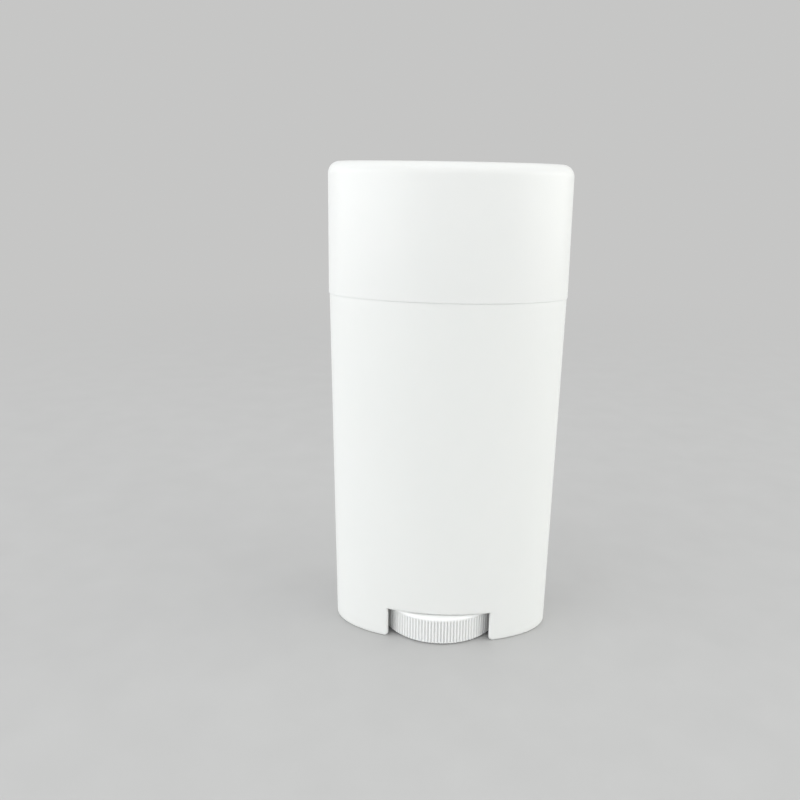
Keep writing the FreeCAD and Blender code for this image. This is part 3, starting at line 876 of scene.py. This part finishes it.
floor_edge = bmesh.new()
bmesh.ops.create_circle(floor_edge, cap_ends=True, segments=FLOOR_SIDES, radius=FLOOR_RADIUS)
floor_mesh = as_mesh(floor_edge, "floor")
floor = in_scene("floor", floor_mesh)
floor_paint = bpy.data.materials.new("floor_paint")
floor_paint.use_nodes = True
net = Wire(floor_paint.node_tree)
paint = net.tree.nodes["Principled BSDF"]
place = net.node("ShaderNodeTexCoord", {}, {}, "Object")
speckle = net.node("ShaderNodeTexNoise", {}, {"Vector": place, "Scale": 60, "Detail": 3})
shade = net.node(
    "ShaderNodeMix", {"data_type": "RGBA"}, {0: speckle, 6: FLOOR_DARK, 7: FLOOR_LIGHT}, 2
)
net.tree.links.new(shade.socket, paint.inputs["Base Color"])
paint.inputs["Roughness"].default_value = 0.7
paint.inputs["Specular IOR Level"].default_value = 0.2
out_there = net.node("ShaderNodeVectorMath", {"operation": "LENGTH"}, {0: place}, 1)
fade = net.node(
    "ShaderNodeMapRange",
    {"interpolation_type": "SMOOTHSTEP"},
    {"Value": out_there, "From Min": FADE_FROM, "From Max": FADE_TO},
)
glow = net.node("ShaderNodeEmission", {}, {"Color": ROOM_TONE, "Strength": 1.0})
near_and_far = net.node(
    "ShaderNodeMixShader",
    {},
    {0: fade * background_rays(net), 1: Wire(net.tree, paint.outputs[0]), 2: glow},
)
net.tree.links.new(near_and_far.socket, net.tree.nodes["Material Output"].inputs["Surface"])
floor_mesh.materials.append(floor_paint)

world = bpy.data.worlds.new("room")
bpy.context.scene.world = world
world.use_nodes = True
room = Wire(world.node_tree)
air = room.node("ShaderNodeBackground", {}, {"Color": DAYLIGHT, "Strength": 0.82})
wall = room.node("ShaderNodeBackground", {}, {"Color": ROOM_TONE, "Strength": 1.0})
both = room.node("ShaderNodeMixShader", {}, {0: background_rays(room), 1: air, 2: wall})
room.tree.links.new(both.socket, room.tree.nodes["World Output"].inputs["Surface"])

AIM_HEIGHT = 0.09


def soft_panel(name, place, size, level, colour):
    """A lamp panel turned to the pack; level is what it adds to a white surface that faces it."""
    light = bpy.data.lights.new(name, "AREA")
    light.shape, light.size, light.size_y, light.color = "RECTANGLE", *size, colour
    toward = Vector(place) - Vector((0, 0, AIM_HEIGHT))
    light.energy = level * math.pi**2 * toward.length_squared
    holder = in_scene(name, light)
    holder.location = place
    holder.rotation_euler = toward.to_track_quat("Z", "Y").to_euler()
    holder.visible_camera = False


soft_panel(
    "window_left",
    place=(-1.08, -0.60, 0.36),
    size=(1.90, 0.66),
    level=0.65,
    colour=(0.97, 0.99, 1),
)
soft_panel(
    "lamp_right",
    place=(1.20, -0.22, 0.38),
    size=(1.60, 0.70),
    level=0.56,
    colour=(0.99, 1, 0.965),
)
soft_panel(
    "ceiling_light",
    place=(0, -0.10, 1.40),
    size=(1.4, 1.4),
    level=0.12,
    colour=(1, 1, 0.99),
)

# ---------------------------------------------------------------- camera
# Held close, level with the pack's top and tipped down, and turned slightly to its left. The short
# lens narrows the pack towards its foot.
LENS, SENSOR, NEAREST = 34.79, 36.0, 0.01
SHIFT_X, SHIFT_Y = -0.037, 0.005
YAW, PITCH, ROLL = math.radians(2.711), math.radians(15.72), math.radians(1.065)
STANDS_AT = (0.005389, -0.201230, 0.119940)
camera_data = bpy.data.cameras.new("camera")
camera_data.lens, camera_data.sensor_width, camera_data.clip_start = LENS, SENSOR, NEAREST
camera_data.shift_x, camera_data.shift_y = SHIFT_X, SHIFT_Y
camera = in_scene("camera", camera_data)
camera.location = STANDS_AT
forward = Vector(
    (-math.sin(YAW) * math.cos(PITCH), math.cos(YAW) * math.cos(PITCH), -math.sin(PITCH))
)
camera.rotation_mode = "QUATERNION"
camera.rotation_quaternion = forward.to_track_quat("-Z", "Y") @ Quaternion((0, 0, 1), ROLL)
bpy.context.scene.camera = camera
bpy.context.scene.view_settings.view_transform = "Standard"
